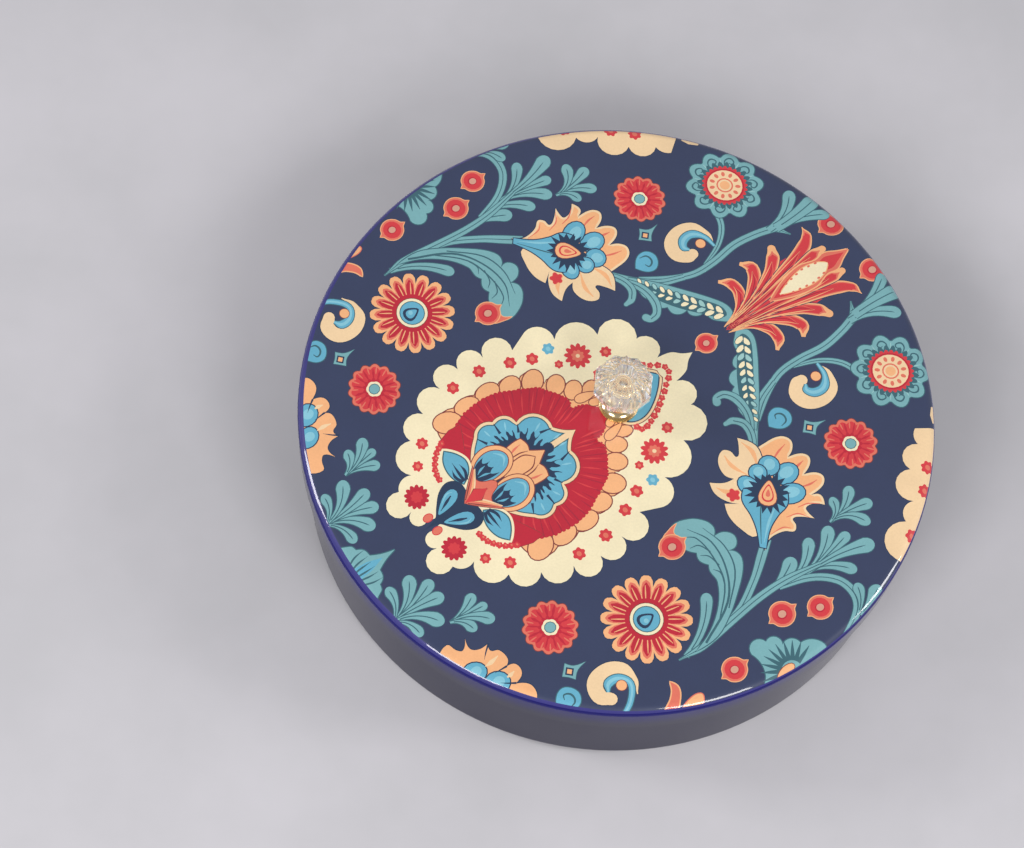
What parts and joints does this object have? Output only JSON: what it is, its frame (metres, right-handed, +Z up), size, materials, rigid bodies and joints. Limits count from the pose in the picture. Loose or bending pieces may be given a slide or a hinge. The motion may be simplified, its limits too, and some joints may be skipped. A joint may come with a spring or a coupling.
{
  "type": "spice box",
  "caption": "Round sheet metal spice box: a tub with loose inner cups and a spoon under an overlapping printed lid with a cut glass knob.",
  "frame": {"origin": "centre of the tub's base, on the surface that it stands on", "axes": "+Z up, towards the knob; +X towards the middle of one outer cup"},
  "size_m": [0.24, 0.24, 0.0869],
  "materials": {
    "tub_lacquer": "dark slate-navy gloss lacquer outside, bare steel inside",
    "lid_enamel": "cobalt blue gloss enamel outside, bare steel inside",
    "printed_film": "printed floral film under a gloss clear coat",
    "cut_glass": "clear cut glass, polished facets",
    "polished_brass": "polished, gold coloured",
    "stainless_steel": "fine brushed stainless steel"
  },
  "bodies": {
    "tub": {"tub_shell": "tub_lacquer"},
    "lid": {"lid_shell": "lid_enamel", "lid_printed_film": "printed_film", "knob_foot": "polished_brass", "knob_glass": "cut_glass", "knob_bush": "polished_brass", "knob_washer": "stainless_steel", "knob_screw": "stainless_steel"},
    "cup_centre_body": {"cup_centre": "stainless_steel"},
    "cup_1_body": {"cup_1": "stainless_steel"},
    "cup_2_body": {"cup_2": "stainless_steel"},
    "cup_3_body": {"cup_3": "stainless_steel"},
    "cup_4_body": {"cup_4": "stainless_steel"},
    "cup_5_body": {"cup_5": "stainless_steel"},
    "cup_6_body": {"cup_6": "stainless_steel"},
    "spoon_body": {"spoon": "stainless_steel"}
  },
  "joints": [
    {"name": "lid_lift", "type": "slide", "parent": "tub", "child": "lid", "axis": [0, 0, 1], "range_m": [0, 0.12]},
    {"name": "cup_centre_lift", "type": "slide", "parent": "tub", "child": "cup_centre_body", "axis": [0, 0, 1], "range_m": [0, 0.01]},
    {"name": "cup_1_lift", "type": "slide", "parent": "tub", "child": "cup_1_body", "axis": [0, 0, 1], "range_m": [0, 0.01]},
    {"name": "cup_2_lift", "type": "slide", "parent": "tub", "child": "cup_2_body", "axis": [0, 0, 1], "range_m": [0, 0.01]},
    {"name": "cup_3_lift", "type": "slide", "parent": "tub", "child": "cup_3_body", "axis": [0, 0, 1], "range_m": [0, 0.01]},
    {"name": "cup_4_lift", "type": "slide", "parent": "tub", "child": "cup_4_body", "axis": [0, 0, 1], "range_m": [0, 0.01]},
    {"name": "cup_5_lift", "type": "slide", "parent": "tub", "child": "cup_5_body", "axis": [0, 0, 1], "range_m": [0, 0.01]},
    {"name": "cup_6_lift", "type": "slide", "parent": "tub", "child": "cup_6_body", "axis": [0, 0, 1], "range_m": [0, 0.01]},
    {"name": "spoon_lift", "type": "slide", "parent": "cup_centre_body", "child": "spoon_body", "axis": [0, 0, 1], "range_m": [0, 0.005]}
  ]
}
